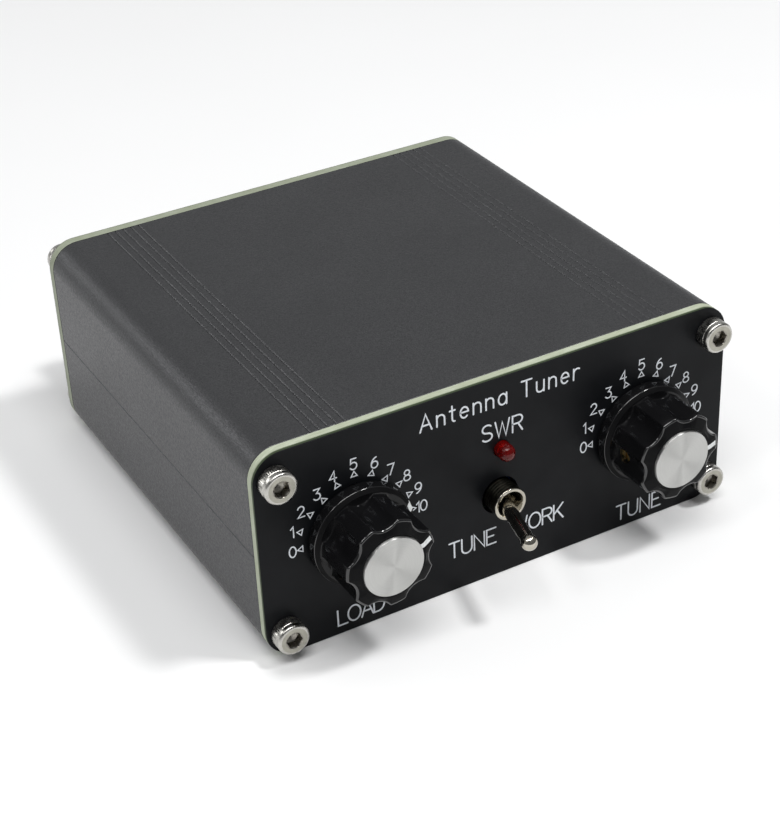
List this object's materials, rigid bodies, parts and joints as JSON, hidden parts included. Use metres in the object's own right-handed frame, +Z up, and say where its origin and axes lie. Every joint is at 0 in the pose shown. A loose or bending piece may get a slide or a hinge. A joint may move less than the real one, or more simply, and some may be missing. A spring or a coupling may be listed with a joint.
{
  "type": "antenna tuner",
  "caption": "Small manual antenna tuner: dark split metal case with board end panels, fluted dials, a toggle switch and lamp in front, coaxial sockets and binding posts behind.",
  "frame": {"origin": "centre of the case's flat bottom face", "axes": "+X to the right seen from the front, +Y to the back, +Z up"},
  "size_m": [0.088, 0.1139, 0.038],
  "materials": {
    "case_aluminium": "dark anodised, sandblasted, satin",
    "panel_board": "black solder mask over glass-fibre board, satin gloss",
    "screw_steel": "bright nickel-plated steel",
    "knob_black": "glossy black moulded",
    "spun_aluminium": "spun, fine circular lines",
    "brass": "turned, satin",
    "shaft_aluminium": "turned, satin",
    "capacitor_plastic": "moulded, satin",
    "nickel": "polished nickel plate",
    "switch_plastic": "moulded, matt",
    "lamp_red": "tinted clear epoxy",
    "board_green": "green solder mask",
    "core_red": "painted powdered iron",
    "copper": "enamelled wire",
    "resistor": "lacquered ceramic",
    "diode_glass": "orange glass",
    "ptfe": "turned insulator",
    "red_plastic": "moulded",
    "black_plastic": "moulded"
  },
  "bodies": {
    "case": {"top_shell": "case_aluminium", "bottom_shell": "case_aluminium", "front_panel": "panel_board", "rear_panel": "panel_board", "front_screw_upper_left": "screw_steel", "front_screw_upper_right": "screw_steel", "front_screw_lower_left": "screw_steel", "front_screw_lower_right": "screw_steel", "rear_screw_upper_left": "screw_steel", "rear_screw_upper_right": "screw_steel", "rear_screw_lower_left": "screw_steel", "rear_screw_lower_right": "screw_steel", "load_capacitor_stator": "brass", "load_mount_screw_1": "screw_steel", "load_mount_screw_2": "screw_steel", "load_capacitor_case": "capacitor_plastic", "tune_capacitor_stator": "brass", "tune_mount_screw_1": "screw_steel", "tune_mount_screw_2": "screw_steel", "tune_capacitor_case": "capacitor_plastic", "toggle_bushing": "nickel", "radio_socket": "nickel", "antenna_socket": "nickel", "radio_socket_nut": "nickel", "antenna_socket_nut": "nickel", "red_post_stud": "nickel", "black_post_stud": "nickel", "toggle_body": "switch_plastic", "lamp": "lamp_red", "main_board": "board_green", "toroid_core": "core_red", "main_winding": "copper", "link_winding": "copper", "bridge_resistor_1": "resistor", "bridge_resistor_2": "resistor", "bridge_resistor_3": "resistor", "detector_diode": "diode_glass", "radio_socket_contact": "ptfe", "antenna_socket_contact": "ptfe", "red_post_collar": "red_plastic", "black_post_collar": "black_plastic"},
    "load_dial": {"load_knob": "knob_black", "load_knob_cap": "spun_aluminium", "load_knob_insert": "brass", "load_set_screw": "brass", "load_shaft_extension": "shaft_aluminium", "load_shaft_screw": "screw_steel", "load_capacitor_rotor": "brass"},
    "tune_dial": {"tune_knob": "knob_black", "tune_knob_cap": "spun_aluminium", "tune_knob_insert": "brass", "tune_set_screw": "brass", "tune_shaft_extension": "shaft_aluminium", "tune_shaft_screw": "screw_steel", "tune_capacitor_rotor": "brass"},
    "switch_lever": {"toggle_lever": "nickel"},
    "red_cap": {"red_post_cap": "red_plastic"},
    "black_cap": {"black_post_cap": "black_plastic"}
  },
  "joints": [
    {"name": "load_dial_turn", "type": "hinge", "parent": "case", "child": "load_dial", "pos_m": [-0.027, -0.042, 0.0191], "axis": [0, 1, 0], "range_deg": [-161, 19]},
    {"name": "tune_dial_turn", "type": "hinge", "parent": "case", "child": "tune_dial", "pos_m": [0.027, -0.042, 0.0191], "axis": [0, 1, 0], "range_deg": [-177, 3]},
    {"name": "switch_throw", "type": "hinge", "parent": "case", "child": "switch_lever", "pos_m": [-0.00065, -0.0423, 0.0157], "axis": [0, 0, 1], "range_deg": [0, 27]},
    {"name": "red_cap_unscrew", "type": "slide", "parent": "case", "child": "red_cap", "axis": [0, 1, 0], "range_m": [0, 0.0035]},
    {"name": "black_cap_unscrew", "type": "slide", "parent": "case", "child": "black_cap", "axis": [0, 1, 0], "range_m": [0, 0.0035]}
  ]
}
